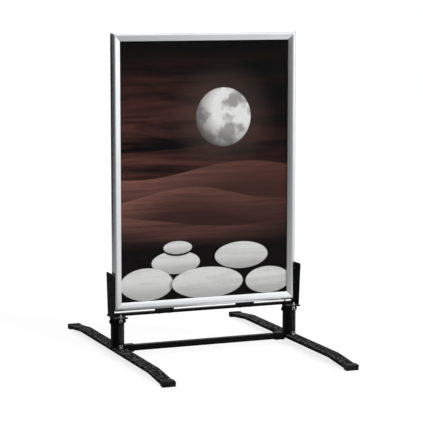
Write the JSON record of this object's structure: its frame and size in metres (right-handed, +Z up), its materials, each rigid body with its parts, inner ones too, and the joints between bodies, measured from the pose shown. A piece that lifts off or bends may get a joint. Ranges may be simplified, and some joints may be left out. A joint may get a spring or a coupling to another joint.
{
  "type": "spring sign stand",
  "caption": "Sprung sign stand: double-sided poster snap frame hinged on a black steel base with bow-ended legs; tension springs right it after wind, hinged profiles open to change posters.",
  "frame": {"origin": "on the floor, under the middle of the stand", "axes": "+X to the viewer's right along the frame's width, +Y to the rear along the legs, +Z up"},
  "size_m": [0.7718, 1.1298, 1.214],
  "materials": {
    "silver_aluminium": "satin silver anodised",
    "black_steel": "black powder coat",
    "zinc_steel": "bright zinc plated",
    "spring_wire": "black coated spring wire",
    "leaf_steel": "bare spring steel",
    "black_plastic": "matt black moulded",
    "black_rubber": "matt black",
    "grey_nylon": "dark grey moulded",
    "white_panel": "white board",
    "poster_print": "matt printed sheet",
    "clear_sheet": "clear antiglare sheet"
  },
  "bodies": {
    "base": {"left_leg": "black_steel", "right_leg": "black_steel", "left_post": "black_steel", "right_post": "black_steel", "left_post_plug": "black_plastic", "right_post_plug": "black_plastic", "left_pivot_bush": "grey_nylon", "right_pivot_bush": "grey_nylon", "left_crossbar_socket": "black_steel", "right_crossbar_socket": "black_steel", "left_front_foot": "black_plastic", "left_rear_foot": "black_plastic", "right_front_foot": "black_plastic", "right_rear_foot": "black_plastic", "lower_crossbar": "black_steel", "crossbar_screws": "black_steel", "spring_anchors": "zinc_steel", "left_front_spring": "spring_wire", "left_rear_spring": "spring_wire", "right_front_spring": "spring_wire", "right_rear_spring": "spring_wire"},
    "sign": {"left_bracket": "black_steel", "right_bracket": "black_steel", "left_pivot_bolt": "black_steel", "right_pivot_bolt": "black_steel", "left_support_pad": "black_rubber", "right_support_pad": "black_rubber", "left_rail": "silver_aluminium", "right_rail": "silver_aluminium", "bottom_rail": "silver_aluminium", "top_rail": "silver_aluminium", "corner_connectors": "grey_nylon", "snap_springs": "leaf_steel", "core_panel": "white_panel", "front_poster": "poster_print", "rear_poster": "poster_print", "front_cover": "clear_sheet", "rear_cover": "clear_sheet", "pivot_nuts": "black_steel", "spring_eyebolts": "zinc_steel", "eyebolt_nuts": "zinc_steel", "upper_bar": "black_steel", "pad_screws": "zinc_steel", "side_spacers": "grey_nylon", "side_screws": "black_steel"},
    "front_top_clip": {"front_top_clip": "silver_aluminium"},
    "front_bottom_clip": {"front_bottom_clip": "silver_aluminium"},
    "front_left_clip": {"front_left_clip": "silver_aluminium"},
    "front_right_clip": {"front_right_clip": "silver_aluminium"},
    "rear_top_clip": {"rear_top_clip": "silver_aluminium"},
    "rear_bottom_clip": {"rear_bottom_clip": "silver_aluminium"},
    "rear_left_clip": {"rear_left_clip": "silver_aluminium"},
    "rear_right_clip": {"rear_right_clip": "silver_aluminium"}
  },
  "joints": [
    {"name": "sign_tilt", "type": "hinge", "parent": "base", "child": "sign", "pos_m": [0, 0, 0.131], "axis": [1, 0, 0], "range_deg": [-25, 25], "stiffness_Nm_per_rad": 180, "deforming": ["left_front_spring", "left_rear_spring", "right_front_spring", "right_rear_spring"]},
    {"name": "front_top_snap", "type": "hinge", "parent": "sign", "child": "front_top_clip", "pos_m": [0, -0.01, 1.21], "axis": [-1, 0, 0], "range_deg": [0, 80], "stiffness_Nm_per_rad": 0.4, "springref_deg": -34.38},
    {"name": "front_bottom_snap", "type": "hinge", "parent": "sign", "child": "front_bottom_clip", "pos_m": [0, -0.01, 0.174], "axis": [1, 0, 0], "range_deg": [0, 80], "stiffness_Nm_per_rad": 0.4, "springref_deg": -34.38},
    {"name": "front_left_snap", "type": "hinge", "parent": "sign", "child": "front_left_clip", "pos_m": [-0.368, -0.01, 0.692], "axis": [0, 0, -1], "range_deg": [0, 80], "stiffness_Nm_per_rad": 0.4, "springref_deg": -34.38},
    {"name": "front_right_snap", "type": "hinge", "parent": "sign", "child": "front_right_clip", "pos_m": [0.368, -0.01, 0.692], "axis": [0, 0, 1], "range_deg": [0, 80], "stiffness_Nm_per_rad": 0.4, "springref_deg": -34.38},
    {"name": "rear_top_snap", "type": "hinge", "parent": "sign", "child": "rear_top_clip", "pos_m": [0, 0.01, 1.21], "axis": [1, 0, 0], "range_deg": [0, 80], "stiffness_Nm_per_rad": 0.4, "springref_deg": -34.38},
    {"name": "rear_bottom_snap", "type": "hinge", "parent": "sign", "child": "rear_bottom_clip", "pos_m": [0, 0.01, 0.174], "axis": [-1, 0, 0], "range_deg": [0, 80], "stiffness_Nm_per_rad": 0.4, "springref_deg": -34.38},
    {"name": "rear_left_snap", "type": "hinge", "parent": "sign", "child": "rear_left_clip", "pos_m": [-0.368, 0.01, 0.692], "axis": [0, 0, 1], "range_deg": [0, 80], "stiffness_Nm_per_rad": 0.4, "springref_deg": -34.38},
    {"name": "rear_right_snap", "type": "hinge", "parent": "sign", "child": "rear_right_clip", "pos_m": [0.368, 0.01, 0.692], "axis": [0, 0, -1], "range_deg": [0, 80], "stiffness_Nm_per_rad": 0.4, "springref_deg": -34.38}
  ]
}
